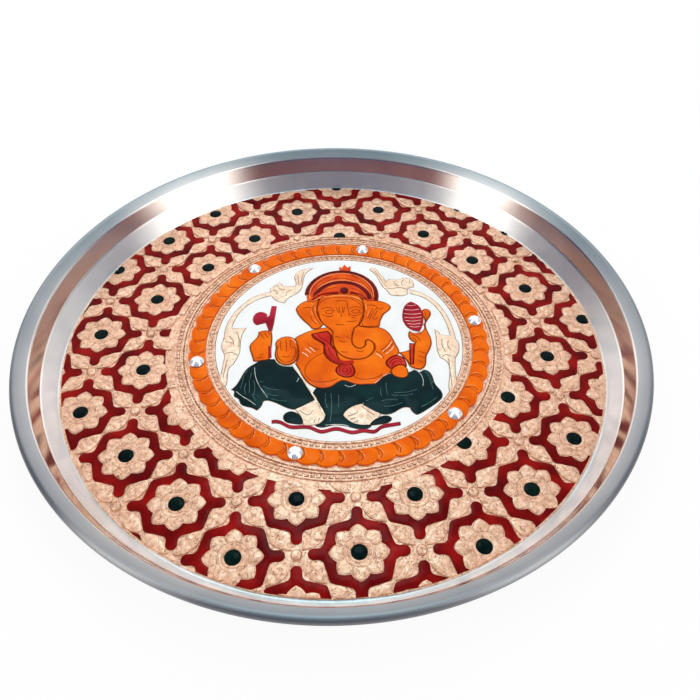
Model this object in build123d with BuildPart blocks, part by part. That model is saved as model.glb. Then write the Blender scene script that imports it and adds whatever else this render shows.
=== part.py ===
from build123d import *
import os
from math import atan2, cos, degrees, hypot, radians, sin, sqrt, tan

# A puja thali: a pressed steel plate, an embossed foil sheet glued to its floor,
# enamel filled into the embossed cells, and six clear stones set on the garland.
# Millimetres, +Z up, +Y towards the figure's crown, origin under the middle of the plate.

# Steel plate
plate_diameter = 254.0
plate_height = 18.0
metal = 0.6
flange_width = 6.0
flange_slope = 35.0
wall_lean = 2.4
step_width = 0.6
step_rise = 0.5
step_height = 7.9
foot_lean = 3.9
foot_bend = 1.2
step_bend = 0.3
rim_bend = 1.2
curl_hollow = 1.0
curl_turn = 250.0

# Adhesive film and foil sheet
adhesive_thickness = 0.15
adhesive_margin = 1.5
sheet_clearance = 0.3
sheet_thickness = 0.3
relief_height = 0.5
relief_margin = 0.4

# Medallion: white field, inner border, garland and outer border, from the middle outwards
medallion_x = 2.2
medallion_y = 0.3
field_radius = 53.0
inner_border = 4.0
garland_width = 7.0
outer_border = 6.0
ridge_width = 0.7
outer_ridge_shares = (0.28, 0.5, 1.0)

# Lattice of flowers, red frames and leaf crosses
lattice_x = 5.1
lattice_y = -13.0
lattice_pitch = 29.8
leaf_lane = 1.8
band_width = 3.6
band_shoulder = 2.0
chamfer_length = 1.0
knob_width = 4.0
knob_flare = 2.0
petal_count = 8
petal_notch = 2.2
petal_swell = 0.15
flower_dot = 5.7
dot_clearance = 0.1
cross_disc = 4.0
knob_gap = 1.8
leaf_gap = 0.6
leaf_width = 5.4
leaf_count = 4
red_clearance = 3.6
smallest_field = 1.2

# Enamel
enamel_depth = 0.35
figure_depth = 0.6
figure_margin = 3.0
garland_depth = 0.9
garland_count = 52
scale_gap = 0.3
scale_scallop = 1.1
scale_head = 1.5

# Stones
stone_diameter = 6.0
stone_table = 3.2
stone_girdle = 0.5
stone_crown = 1.3
stone_facets = 8
stone_angles = (8.0, 77.0, 129.0, 190.0, 252.0, 316.0)
glue_diameter = 4.4
glue_thickness = 0.12

# Sizes that follow from those
plate_radius = plate_diameter / 2
wall_top_radius = plate_radius - flange_width
ledge_radius = wall_top_radius - wall_lean
step_radius = ledge_radius - step_width
foot_radius = step_radius - foot_lean
foot_turn = degrees(atan2(step_height - metal, foot_lean))
floor_radius = foot_radius - foot_bend * tan(radians(foot_turn) / 2)
sheet_radius = floor_radius - sheet_clearance
relief_radius = sheet_radius - relief_margin
sheet_bottom = metal + adhesive_thickness
sheet_top = sheet_bottom + sheet_thickness
garland_inner = field_radius + inner_border
garland_outer = garland_inner + garland_width
border_radius = garland_outer + outer_border
figure_height = 2 * (field_radius - figure_margin)
lattice_half = lattice_pitch / sqrt(2)
frame_reach = lattice_pitch / 2 - leaf_lane / 2
flower_radius = frame_reach - band_width
medallion = (medallion_x, medallion_y)

os.makedirs("parts", exist_ok=True)


def finish(piece, name):
    """Label a finished piece and write it as its own file."""
    piece.part.label = name
    export_step(piece.part, f"parts/{name}.step")


def polar(radius, angle):
    """A point at a radius and an angle in degrees."""
    return (radius * cos(radians(angle)), radius * sin(radians(angle)))


def whole_fields(sketch):
    """The faces of a sketch that are large enough to emboss or fill."""
    return [face for face in sketch.faces() if face.area > smallest_field**2]


# Steel plate: one pressing of even thickness, its edge rolled into a hollow curl
curl_radius = curl_hollow + metal
step_bend_radius = step_bend + metal
rim_bend_radius = rim_bend + metal
flange_end_x = plate_radius - curl_radius - curl_radius * sin(radians(flange_slope))
flange_end_z = plate_height - curl_radius + curl_radius * cos(radians(flange_slope))
wall_top_height = flange_end_z - (flange_end_x - wall_top_radius) * tan(radians(flange_slope))

with BuildPart() as steel_plate:
    with BuildSketch(Plane.XZ):
        with BuildLine():
            inside = FilletPolyline(
                (0, metal),
                (foot_radius, metal),
                (step_radius, step_height),
                (ledge_radius, step_height + step_rise),
                (wall_top_radius, wall_top_height),
                (flange_end_x, flange_end_z),
                radius=(foot_bend, step_bend_radius, step_bend_radius, rim_bend_radius),
            )
            JernArc(inside @ 1, inside % 1, curl_radius, -curl_turn)
            offset(amount=metal, side=Side.RIGHT)
        make_face()
    revolve(axis=Axis.Z)
finish(steel_plate, "steel_plate")

# Adhesive film: spread on the floor a little short of the sheet's edge
with BuildPart() as sheet_adhesive:
    with BuildSketch(Plane.XY.offset(metal)):
        Circle(sheet_radius - adhesive_margin)
    extrude(amount=adhesive_thickness)
finish(sheet_adhesive, "sheet_adhesive")

# Lattice places: flowers on a diagonal grid, crosses of leaves midway between them
lattice_steps = int(sheet_radius / lattice_half) + 2
lattice_range = range(-lattice_steps, lattice_steps + 1)
flower_points = []
cross_points = []
for i in lattice_range:
    for j in lattice_range:
        x = lattice_x + (i - j) * lattice_half
        y = lattice_y + (i + j) * lattice_half
        for points, point in ((flower_points, (x, y)), (cross_points, (x, y + lattice_half))):
            from_border = hypot(point[0] - medallion_x, point[1] - medallion_y)
            if hypot(*point) < sheet_radius + lattice_half and from_border > border_radius - lattice_half:
                points.append(point)

# Flower outline: petals with a point each and a notch between
petal_step = 360 / petal_count
notch_radius = flower_radius - petal_notch
shoulder_radius = (flower_radius + notch_radius) / 2 + petal_swell
with BuildSketch() as flower:
    with BuildLine():
        for k in range(petal_count):
            tip = polar(flower_radius, k * petal_step)
            for side in (-1, 1):
                shoulder = polar(shoulder_radius, k * petal_step + side * petal_step / 4)
                notch = polar(notch_radius, k * petal_step + side * petal_step / 2)
                ThreePointArc(notch, shoulder, tip)
    make_face()

with BuildSketch() as flower_ring:
    add(flower.sketch)
    Circle(flower_dot / 2 + dot_clearance, mode=Mode.SUBTRACT)

# Red frame: hugs the flower, blunt on the diagonals, with a flared, round-ended knob on each axis
corner_along = frame_reach / sqrt(2)
corner_across = chamfer_length / 2 / sqrt(2)
band_edge = flower_radius + band_shoulder
knob_reach = lattice_half - cross_disc / 2 - knob_gap
with BuildSketch() as red_frame:
    with BuildLine():
        for k in range(4):
            turn = k * 90
            Polyline(
                Vector(knob_width / 2, band_edge).rotate(Axis.Z, turn),
                Vector(corner_along - corner_across, corner_along + corner_across).rotate(Axis.Z, turn),
                Vector(corner_along + corner_across, corner_along - corner_across).rotate(Axis.Z, turn),
                Vector(band_edge, knob_width / 2).rotate(Axis.Z, turn),
            )
            Line(
                Vector(knob_width / 2, band_edge).rotate(Axis.Z, turn),
                Vector(-knob_width / 2, band_edge).rotate(Axis.Z, turn),
            )
    make_face()
    with PolarLocations(knob_reach / 2, 4):
        SlotOverall(knob_reach, knob_width)
    fillet(red_frame.vertices().group_by(SortBy.DISTANCE)[0], knob_flare)
    add(flower.sketch, mode=Mode.SUBTRACT)

# Leaf cross: a small disc with four pointed leaves along the diagonals
leaf_start = cross_disc / 2 + leaf_gap
leaf_end = lattice_pitch / 2 - leaf_gap
with BuildSketch() as leaf:
    with BuildLine():
        ThreePointArc((leaf_start, 0), ((leaf_start + leaf_end) / 2, leaf_width / 2), (leaf_end, 0))
        ThreePointArc((leaf_start, 0), ((leaf_start + leaf_end) / 2, -leaf_width / 2), (leaf_end, 0))
    make_face()
with BuildSketch() as leaf_cross:
    Circle(cross_disc / 2)
    for k in range(leaf_count):
        add(leaf.sketch, rotation=45 + k * 360 / leaf_count)


def figure_points(shares):
    """Points given as shares of the figure's height."""
    return [(x * figure_height, y * figure_height) for x, y in shares]


def field(*runs):
    """A field's face: each run is a smooth curve, and it ends in a corner where the next run starts."""
    with BuildSketch() as face:
        with BuildLine():
            for run, following in zip(runs, runs[1:] + runs[:1]):
                points = figure_points((*run, following[0]))
                if len(points) == 2:
                    Line(*points)
                else:
                    Spline(*points)
        make_face()
    return face.sketch


def smooth_field(shares):
    """A field's face bounded by one smooth closed curve."""
    with BuildSketch() as face:
        with BuildLine():
            Spline(*figure_points(shares), periodic=True)
        make_face()
    return face.sketch


def straight_field(shares):
    """A field's face bounded by straight lines."""
    with BuildSketch() as face:
        with BuildLine():
            Polyline(*figure_points(shares), close=True)
        make_face()
    return face.sketch


def arc_band(centre_share, outer_share, width_share, start, turn):
    """A band's face along an arc."""
    with BuildSketch() as face:
        with BuildLine():
            centre = figure_points([centre_share])[0]
            outer = CenterArc(centre, outer_share * figure_height, start, turn)
            inner = CenterArc(centre, (outer_share - width_share) * figure_height, start, turn)
            Line(outer @ 0, inner @ 0)
            Line(outer @ 1, inner @ 1)
        make_face()
    return face.sketch


# Turban: rim, front band and jewel lie over the cloth, and the cloth ends at a curved hem
turban_centre_share = (0.044, 0.286)
turban_radius_share = 0.167
turban_rim_share = 0.018
turban_below_shares = (
    ((-0.14, 0.25),),
    ((-0.082, 0.245), (-0.04, 0.276), (0.044, 0.291), (0.13, 0.268)),
    ((0.16, 0.24),),
    ((0.23, 0.243),),
    ((0.23, 0.1),),
    ((-0.14, 0.1),),
)
with BuildSketch() as turban_cloth:
    with Locations(*figure_points([turban_centre_share])):
        Circle((turban_radius_share - turban_rim_share / 2) * figure_height)
    add(field(*turban_below_shares), mode=Mode.SUBTRACT)
turban_rim = arc_band(turban_centre_share, turban_radius_share, turban_rim_share, -17, 195)
turban_band = arc_band((0.044, 0.243), 0.137, 0.021, 3, 163)
turban_jewel = smooth_field(((0.075, 0.31), (0.056, 0.329), (0.037, 0.31), (0.056, 0.291)))
turban_finial_shares = (
    (0.042, 0.44), (0.042, 0.48), (0.053, 0.47), (0.066, 0.495), (0.079, 0.472), (0.094, 0.483),
    (0.09, 0.44),
)

# Head: a round face that runs down into a trunk curled to one side, and two ears
face_shares = (
    (
        (-0.012, 0.066), (-0.038, 0.095), (-0.058, 0.13), (-0.069, 0.17), (-0.068, 0.22), (-0.05, 0.27),
        (-0.01, 0.3), (0.034, 0.31), (0.085, 0.302), (0.125, 0.27), (0.14, 0.22), (0.137, 0.17),
        (0.13, 0.125), (0.115, 0.095),
    ),
    (
        (0.09, 0.07), (0.082, 0.04), (0.076, 0.0), (0.08, -0.028), (0.095, -0.046), (0.113, -0.05),
        (0.128, -0.04),
    ),
    (
        (0.133, -0.018), (0.146, -0.003), (0.16, -0.012), (0.169, -0.035), (0.166, -0.065), (0.148, -0.092),
        (0.12, -0.109), (0.085, -0.112), (0.048, -0.102), (0.018, -0.075), (0.0, -0.038), (-0.006, 0.005),
    ),
    ((-0.003, 0.05),),
)
left_ear_shares = (
    ((-0.05, 0.262), (-0.09, 0.26), (-0.12, 0.25), (-0.156, 0.218)),
    ((-0.163, 0.198), (-0.156, 0.172), (-0.136, 0.135), (-0.112, 0.104)),
    ((-0.096, 0.079), (-0.076, 0.072)),
    ((-0.056, 0.083),),
    ((-0.03, 0.12),),
)
right_ear_shares = (
    ((0.12, 0.25), (0.15, 0.252), (0.206, 0.24), (0.249, 0.216)),
    ((0.26, 0.2), (0.249, 0.174), (0.226, 0.152), (0.213, 0.126), (0.203, 0.096)),
    ((0.202, 0.08), (0.18, 0.072), (0.148, 0.073)),
    ((0.115, 0.08),),
    ((0.1, 0.12),),
)

# Body: torso with both upper arms, and the four hands
torso_shares = (
    ((-0.06, 0.075), (-0.115, 0.056), (-0.14, 0.042), (-0.16, 0.028)),
    ((-0.172, 0.005), (-0.16, -0.04), (-0.154, -0.09)),
    (
        (-0.165, -0.125), (-0.145, -0.17), (-0.13, -0.205), (-0.105, -0.24), (-0.07, -0.26),
        (-0.02, -0.255), (0.025, -0.226), (0.08, -0.248), (0.13, -0.25), (0.16, -0.248), (0.183, -0.226),
    ),
    ((0.21, -0.206),),
    ((0.245, -0.17),),
    ((0.255, -0.11),),
    ((0.273, -0.08), (0.268, -0.055), (0.257, -0.02), (0.245, 0.02), (0.225, 0.053)),
    ((0.2, 0.07),),
    ((0.1, 0.1),),
)
axe_hand_shares = (
    ((-0.272, 0.068), (-0.295, 0.072)),
    ((-0.325, 0.064), (-0.332, 0.03), (-0.358, -0.012), (-0.352, -0.055)),
    ((-0.34, -0.103), (-0.3, -0.102)),
    ((-0.274, -0.096), (-0.27, -0.03), (-0.267, 0.025)),
)
blessing_hand_shares = (
    (-0.249, -0.02), (-0.236, 0.019), (-0.203, 0.032), (-0.176, 0.022), (-0.16, -0.008), (-0.153, -0.05),
    (-0.157, -0.092), (-0.173, -0.12), (-0.202, -0.13), (-0.23, -0.12), (-0.246, -0.095), (-0.251, -0.06),
)
lotus_arm_shares = (
    ((0.33, 0.043), (0.35, 0.028), (0.387, 0.04)),
    ((0.396, 0.08), (0.403, 0.12), (0.402, 0.168), (0.42, 0.176), (0.434, 0.158), (0.423, 0.12)),
    (
        (0.404, 0.085), (0.406, 0.04), (0.415, 0.0), (0.412, -0.045), (0.395, -0.083), (0.384, -0.105),
        (0.378, -0.14),
    ),
    ((0.352, -0.18), (0.33, -0.173)),
    ((0.31, -0.16), (0.285, -0.1)),
    ((0.27, -0.08), (0.315, -0.07), (0.34, -0.045)),
    ((0.346, -0.025), (0.33, -0.01)),
)
bowl_hand_shares = ((0.298, -0.187), (0.263, -0.152), (0.228, -0.187), (0.263, -0.222))

# What the figure wears and holds
necklace_shares = (
    (
        (-0.095, 0.042), (-0.08, 0.01), (-0.045, -0.025), (-0.045, -0.06), (-0.035, -0.095),
        (-0.005, -0.128),
    ),
    ((0.03, -0.143),),
    ((0.03, -0.12), (0.015, -0.105), (0.005, -0.06), (-0.012, -0.03), (-0.013, 0.03)),
    ((-0.03, 0.055),),
)
pendant_shares = ((0.078, -0.17), (0.04, -0.132), (0.002, -0.17), (0.04, -0.208))
sweet_bowl_shares = ((0.2945, -0.14), (0.2535, -0.099), (0.2125, -0.14), (0.2535, -0.181))
axe_head_shares = (
    ((-0.295, 0.155), (-0.3, 0.18), (-0.33, 0.187), (-0.348, 0.168), (-0.352, 0.145), (-0.345, 0.12)),
    ((-0.333, 0.11),),
    ((-0.297, 0.122),),
)
axe_shaft_shares = (
    (-0.272, 0.225), (-0.252, 0.222), (-0.262, 0.12), (-0.269, 0.07), (-0.281, 0.07), (-0.296, 0.124),
    (-0.294, 0.152), (-0.28, 0.165),
)
axe_end_shares = ((-0.27, -0.025), (-0.279, -0.025), (-0.277, -0.088), (-0.268, -0.085))
lotus_bud_shares = (
    ((0.354, 0.225), (0.385, 0.2), (0.398, 0.135), (0.39, 0.08)),
    ((0.372, 0.04), (0.335, 0.055), (0.311, 0.1), (0.313, 0.16), (0.33, 0.205)),
)
lotus_stem_shares = (
    (0.322, -0.03), (0.342, -0.033), (0.338, -0.06), (0.325, -0.15), (0.312, -0.15), (0.318, -0.08),
)

# Drapes over both legs and the pleats between them, slippers and the line of the seat
left_drape_shares = (
    ((-0.335, -0.12), (-0.31, -0.103), (-0.28, -0.096)),
    ((-0.252, -0.098), (-0.243, -0.12), (-0.215, -0.138)),
    ((-0.18, -0.14), (-0.16, -0.165), (-0.138, -0.21), (-0.12, -0.25), (-0.098, -0.285)),
    ((-0.09, -0.322), (-0.13, -0.345)),
    ((-0.165, -0.363), (-0.2, -0.352), (-0.26, -0.317), (-0.285, -0.313)),
    ((-0.295, -0.32), (-0.303, -0.345)),
    ((-0.317, -0.36), (-0.34, -0.345), (-0.38, -0.325), (-0.39, -0.3), (-0.408, -0.285), (-0.408, -0.265)),
    ((-0.422, -0.252), (-0.4, -0.225), (-0.38, -0.175), (-0.36, -0.14)),
)
right_drape_shares = (
    ((0.16, -0.24), (0.185, -0.215)),
    ((0.205, -0.197), (0.225, -0.195), (0.25, -0.2), (0.28, -0.2), (0.31, -0.19)),
    ((0.325, -0.182), (0.345, -0.193)),
    (
        (0.365, -0.182), (0.385, -0.195), (0.395, -0.225), (0.4, -0.26), (0.42, -0.3), (0.42, -0.325),
        (0.4, -0.35), (0.36, -0.38), (0.33, -0.4),
    ),
    ((0.31, -0.41), (0.295, -0.395)),
    ((0.288, -0.375), (0.26, -0.372), (0.22, -0.395), (0.19, -0.403), (0.16, -0.395), (0.13, -0.375)),
    ((0.103, -0.355), (0.105, -0.34), (0.12, -0.3), (0.15, -0.255)),
)
centre_drape_shares = (
    ((-0.085, -0.265), (-0.06, -0.25), (-0.02, -0.245), (0.025, -0.215), (0.08, -0.238), (0.13, -0.24)),
    ((0.17, -0.24), (0.14, -0.275), (0.11, -0.33)),
    ((0.1, -0.348), (0.06, -0.36), (0.03, -0.385)),
    ((0.022, -0.4), (0.04, -0.425), (0.065, -0.443), (0.09, -0.45)),
    ((0.13, -0.45), (0.12, -0.463), (0.07, -0.466), (0.03, -0.452), (-0.02, -0.446), (-0.07, -0.453)),
    ((-0.087, -0.445), (-0.06, -0.425), (-0.05, -0.405), (-0.06, -0.37), (-0.08, -0.31)),
    ((-0.093, -0.283),),
)
left_slipper_shares = (
    (-0.21, -0.405), (-0.205, -0.385), (-0.185, -0.374), (-0.165, -0.38), (-0.145, -0.4), (-0.137, -0.433),
    (-0.165, -0.433), (-0.205, -0.417),
)
right_slipper_shares = (
    (0.125, -0.446), (0.14, -0.43), (0.17, -0.414), (0.195, -0.412), (0.208, -0.425), (0.2, -0.438),
    (0.16, -0.45),
)
seat_width_share = 0.014
seat_line_shares = (
    (-0.255, -0.42), (-0.22, -0.425), (-0.19, -0.445), (-0.11, -0.453), (-0.065, -0.475), (-0.01, -0.464),
    (0.055, -0.484), (0.1, -0.478), (0.14, -0.483), (0.16, -0.468), (0.2, -0.456), (0.24, -0.45),
)
seat_top = tuple((x, y + seat_width_share / 2) for x, y in seat_line_shares)
seat_under = tuple((x, y - seat_width_share / 2) for x, y in reversed(seat_line_shares))

# Bare foil inside the white field: the feet and a scroll on each side
left_foot_shares = (
    (-0.163, -0.355), (-0.13, -0.335), (-0.09, -0.315), (-0.07, -0.34), (-0.047, -0.39), (-0.045, -0.41),
    (-0.065, -0.433), (-0.1, -0.442), (-0.13, -0.44), (-0.137, -0.415), (-0.15, -0.385),
)
right_foot_shares = (
    (0.018, -0.395), (0.04, -0.368), (0.08, -0.343), (0.105, -0.34), (0.125, -0.362), (0.145, -0.382),
    (0.165, -0.4), (0.15, -0.428), (0.12, -0.452), (0.09, -0.455), (0.055, -0.446), (0.03, -0.42),
)
left_scroll_leaf_shares = (
    ((-0.085, 0.475), (-0.13, 0.466), (-0.155, 0.45), (-0.17, 0.42), (-0.163, 0.38)),
    ((-0.17, 0.35), (-0.2, 0.352)),
    ((-0.225, 0.352), (-0.232, 0.37)),
    ((-0.242, 0.38), (-0.258, 0.362), (-0.277, 0.345)),
    ((-0.275, 0.315), (-0.268, 0.28), (-0.245, 0.257)),
    (
        (-0.215, 0.246), (-0.205, 0.27), (-0.175, 0.295), (-0.15, 0.318), (-0.135, 0.37), (-0.13, 0.41),
        (-0.11, 0.455),
    ),
)
left_scroll_stem_shares = (
    ((-0.272, 0.318), (-0.34, 0.297), (-0.415, 0.225), (-0.463, 0.12)),
    ((-0.472, 0.06),),
    ((-0.445, 0.09), (-0.423, 0.175), (-0.35, 0.265)),
    ((-0.27, 0.295),),
)
left_scroll_bud_shares = (
    ((-0.472, 0.07), (-0.473, 0.03), (-0.478, -0.015), (-0.465, -0.055)),
    ((-0.46, -0.07), (-0.465, -0.12)),
    ((-0.47, -0.2),),
    ((-0.45, -0.235), (-0.445, -0.18), (-0.438, -0.13)),
    ((-0.425, -0.115), (-0.408, -0.07)),
    ((-0.402, -0.05), (-0.402, 0.0), (-0.398, 0.05)),
    ((-0.38, 0.093), (-0.42, 0.09)),
    ((-0.45, 0.095),),
)
right_scroll_leaf_shares = (
    ((0.183, 0.455), (0.2, 0.435), (0.218, 0.4), (0.23, 0.355)),
    ((0.255, 0.31),),
    ((0.268, 0.278), (0.3, 0.27), (0.33, 0.272)),
    ((0.348, 0.285), (0.35, 0.315)),
    ((0.378, 0.325), (0.38, 0.345)),
    ((0.372, 0.375), (0.345, 0.388), (0.305, 0.376), (0.27, 0.38)),
    ((0.25, 0.365), (0.245, 0.39), (0.225, 0.43), (0.205, 0.463)),
)
right_scroll_stem_shares = (
    ((0.36, 0.31), (0.4, 0.288), (0.45, 0.245), (0.5, 0.15), (0.52, 0.04)),
    ((0.522, -0.03),),
    ((0.505, -0.005), (0.5, 0.07), (0.47, 0.18), (0.42, 0.25)),
    ((0.36, 0.28),),
)
right_scroll_bud_shares = (
    ((0.44, 0.047), (0.452, 0.032)),
    ((0.46, 0.014), (0.49, 0.008)),
    ((0.51, 0.0), (0.53, -0.04), (0.522, -0.09)),
    ((0.505, -0.12), (0.493, -0.2), (0.48, -0.29)),
    ((0.465, -0.325), (0.468, -0.22), (0.468, -0.14)),
    ((0.445, -0.118), (0.438, -0.08), (0.441, -0.01)),
)

# Enamel fields of the figure, from the front to the back: each ends where the ones before it begin
with BuildSketch() as axe:
    add(field(*axe_head_shares))
    add(straight_field(axe_shaft_shares))
    add(straight_field(axe_end_shares))
figure_fields = {
    "turban_jewel": turban_jewel,
    "turban_band": turban_band,
    "turban_rim": turban_rim,
    "turban_cloth": turban_cloth.sketch,
    "turban_finial": straight_field(turban_finial_shares),
    "face_and_trunk": field(*face_shares),
    "left_ear": field(*left_ear_shares),
    "right_ear": field(*right_ear_shares),
    "bowl_hand": smooth_field(bowl_hand_shares),
    "sweet_bowl": smooth_field(sweet_bowl_shares),
    "lotus_bud": field(*lotus_bud_shares),
    "lotus_stem": straight_field(lotus_stem_shares),
    "lotus_arm": field(*lotus_arm_shares),
    "axe": axe.sketch,
    "axe_hand": field(*axe_hand_shares),
    "blessing_hand": smooth_field(blessing_hand_shares),
    "pendant": smooth_field(pendant_shares),
    "necklace": field(*necklace_shares),
    "torso": field(*torso_shares),
    "left_drape": field(*left_drape_shares),
    "right_drape": field(*right_drape_shares),
    "centre_drape": field(*centre_drape_shares),
    "left_slipper": smooth_field(left_slipper_shares),
    "right_slipper": smooth_field(right_slipper_shares),
    "seat_line": field(seat_top[:-1], seat_top[-1:], seat_under[:-1], seat_under[-1:]),
}
front_fields = []
for name, face in figure_fields.items():
    with BuildSketch() as visible:
        add(face)
        for front in front_fields:
            add(front, mode=Mode.SUBTRACT)
    with BuildPart() as enamel:
        with BuildSketch(Plane.XY.offset(sheet_top)):
            add(whole_fields(visible))
        extrude(amount=figure_depth)
    finish(enamel, f"{name}_enamel")
    front_fields.append(face)

# Bare foil shapes of the white field, clear of the figure's enamel
with BuildSketch() as bare_shapes:
    add(smooth_field(left_foot_shares))
    add(smooth_field(right_foot_shares))
    for shares in (
        left_scroll_leaf_shares, left_scroll_stem_shares, left_scroll_bud_shares,
        right_scroll_leaf_shares, right_scroll_stem_shares, right_scroll_bud_shares,
    ):
        add(field(*shares))
    with Locations(medallion):
        Circle(field_radius, mode=Mode.INTERSECT)
    for front in front_fields:
        add(front, mode=Mode.SUBTRACT)

# White field: fills the medallion round the figure
with BuildSketch() as white_ground:
    with Locations(medallion):
        Circle(field_radius)
    for front in front_fields:
        add(front, mode=Mode.SUBTRACT)
    add(bare_shapes.sketch, mode=Mode.SUBTRACT)
with BuildPart() as white_field:
    with BuildSketch(Plane.XY.offset(sheet_top)):
        add(whole_fields(white_ground))
    extrude(amount=enamel_depth)
finish(white_field, "white_field_enamel")

# Foil sheet: flowers, leaf crosses, border ridges and the bare shapes are embossed in it
with BuildSketch() as lattice_relief:
    with Locations(*flower_points):
        add(flower_ring.sketch)
    with Locations(*cross_points):
        add(leaf_cross.sketch)
    Circle(relief_radius, mode=Mode.INTERSECT)
    with Locations(medallion):
        Circle(border_radius + ridge_width, mode=Mode.SUBTRACT)
ridge_radii = [garland_outer + share * outer_border for share in reversed(outer_ridge_shares)]
ridge_radii += [garland_inner - scale_gap, field_radius + ridge_width]
with BuildSketch() as border_ridges:
    with Locations(medallion):
        for radius in ridge_radii:
            Circle(radius)
            Circle(radius - ridge_width, mode=Mode.SUBTRACT)
with BuildPart() as embossed_sheet:
    with BuildSketch(Plane.XY.offset(sheet_bottom)):
        Circle(sheet_radius)
    extrude(amount=sheet_thickness)
    with BuildSketch(Plane.XY.offset(sheet_top)):
        add(whole_fields(lattice_relief))
        add(bare_shapes.sketch)
        add(border_ridges.sketch)
    extrude(amount=relief_height)
finish(embossed_sheet, "embossed_sheet")

# Red enamel: the frames round the flowers, ending short of the outer border and the sheet's edge
with BuildSketch() as red_lattice:
    with Locations(*flower_points):
        add(red_frame.sketch)
    Circle(relief_radius, mode=Mode.INTERSECT)
    with Locations(medallion):
        Circle(border_radius + red_clearance, mode=Mode.SUBTRACT)
with BuildPart() as red_lattice_enamel:
    with BuildSketch(Plane.XY.offset(sheet_top)):
        add(whole_fields(red_lattice))
    extrude(amount=enamel_depth)
finish(red_lattice_enamel, "red_lattice_enamel")

# Dark enamel: one dot in the middle of each flower whose middle shows
dot_points = [(x, y) for x, y in flower_points if hypot(x - medallion_x, y - medallion_y) > border_radius]
with BuildSketch() as flower_dots:
    with Locations(*dot_points):
        Circle(flower_dot / 2)
    Circle(relief_radius, mode=Mode.INTERSECT)
    with Locations(medallion):
        Circle(border_radius + dot_clearance, mode=Mode.SUBTRACT)
with BuildPart() as flower_dot_enamel:
    with BuildSketch(Plane.XY.offset(sheet_top)):
        add(whole_fields(flower_dots))
    extrude(amount=figure_depth)
finish(flower_dot_enamel, "flower_dot_enamel")

# Garland: a ring of overlapping scales, each with a rounded head and a scalloped outer edge
scale_half = 180 / garland_count
scale_middle = (garland_inner + garland_outer) / 2
scale_notch = garland_outer - scale_scallop
scale_tail = degrees(scale_gap / scale_middle) - scale_half
head_turn = degrees(scale_head / scale_middle)
with BuildSketch() as garland_scale:
    with BuildLine():
        ThreePointArc(
            polar(garland_inner, scale_tail),
            polar(scale_middle, scale_tail + head_turn),
            polar(scale_notch, scale_tail),
        )
        ThreePointArc(
            polar(scale_notch, scale_tail),
            polar(garland_outer, 0),
            polar(scale_notch, scale_half),
        )
        ThreePointArc(
            polar(scale_notch, scale_half),
            polar(scale_middle, scale_half + head_turn),
            polar(garland_inner, scale_half),
        )
        ThreePointArc(
            polar(garland_inner, scale_half),
            polar(garland_inner, 0),
            polar(garland_inner, scale_tail),
        )
    make_face()
with BuildPart() as garland_enamel:
    with BuildSketch(Plane.XY.offset(sheet_top)):
        with Locations(medallion):
            with PolarLocations(0, garland_count):
                add(garland_scale.sketch)
    extrude(amount=garland_depth)
finish(garland_enamel, "garland_enamel")

# Stones: flat-backed, with a straight girdle and a faceted crown, each on a dot of glue
glue_bottom = sheet_top + garland_depth
stone_bottom = glue_bottom + glue_thickness
stone_points = []
for angle in stone_angles:
    x, y = polar(scale_middle, angle)
    stone_points.append((medallion_x + x, medallion_y + y))

with BuildPart() as stone_glue:
    with BuildSketch(Plane.XY.offset(glue_bottom)):
        with Locations(*stone_points):
            Circle(glue_diameter / 2)
    extrude(amount=glue_thickness)
finish(stone_glue, "stone_glue")

for number, (x, y) in enumerate(stone_points, 1):
    with BuildPart() as stone:
        with BuildSketch(Plane((x, y, stone_bottom))):
            RegularPolygon(stone_diameter / 2, stone_facets)
        extrude(amount=stone_girdle)
        with BuildSketch(Plane((x, y, stone_bottom + stone_girdle))):
            RegularPolygon(stone_diameter / 2, stone_facets)
        with BuildSketch(Plane((x, y, stone_bottom + stone_girdle + stone_crown))):
            RegularPolygon(stone_table / 2, stone_facets)
        loft()
    finish(stone, f"stone_{number}")
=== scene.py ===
from math import cos, hypot, pi, radians, sin

import bpy
from mathutils import Matrix, Vector


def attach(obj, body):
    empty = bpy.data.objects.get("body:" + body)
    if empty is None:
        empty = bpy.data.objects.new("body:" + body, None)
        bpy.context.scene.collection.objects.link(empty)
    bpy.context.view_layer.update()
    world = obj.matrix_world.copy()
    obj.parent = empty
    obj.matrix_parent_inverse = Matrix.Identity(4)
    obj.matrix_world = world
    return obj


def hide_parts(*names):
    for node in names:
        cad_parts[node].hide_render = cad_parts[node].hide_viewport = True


# A puja thali: a pressed steel plate with an embossed, enamelled foil sheet glued to its floor.
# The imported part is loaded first, and every piece below is modelled over it, in the order of assembly.
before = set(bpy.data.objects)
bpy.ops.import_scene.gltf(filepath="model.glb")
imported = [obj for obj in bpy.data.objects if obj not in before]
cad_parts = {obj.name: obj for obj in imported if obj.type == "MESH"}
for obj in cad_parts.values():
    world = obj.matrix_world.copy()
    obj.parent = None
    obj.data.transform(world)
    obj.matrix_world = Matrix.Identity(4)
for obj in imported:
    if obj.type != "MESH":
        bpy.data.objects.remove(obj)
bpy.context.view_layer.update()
bpy.ops.object.select_all(action="DESELECT")
mm = 0.001


# Steel plate: a disc of stainless sheet pressed into a tray with a stepped wall, a sloped flange and
# a rolled edge. The wall keeps the polish of the press, the cove under it and the flange are brushed
# round the axis on a lathe.
def bent(corners, radii, steps=7):
    """A path through corners with each inner corner bent to its radius."""
    path = [Vector(corners[0])]
    for before, corner, after, radius in zip(corners, corners[1:], corners[2:], radii):
        before, corner, after = Vector(before), Vector(corner), Vector(after)
        back, on = (before - corner).normalized(), (after - corner).normalized()
        half = back.angle(on) / 2
        reach = radius / sin(half) * cos(half)
        middle = corner + (back + on).normalized() * radius / sin(half)
        start, stop = corner + back * reach - middle, corner + on * reach - middle
        for k in range(steps):
            path.append(middle + start.slerp(stop, k / (steps - 1)) * radius)
    path.append(Vector(corners[-1]))
    return path


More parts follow.
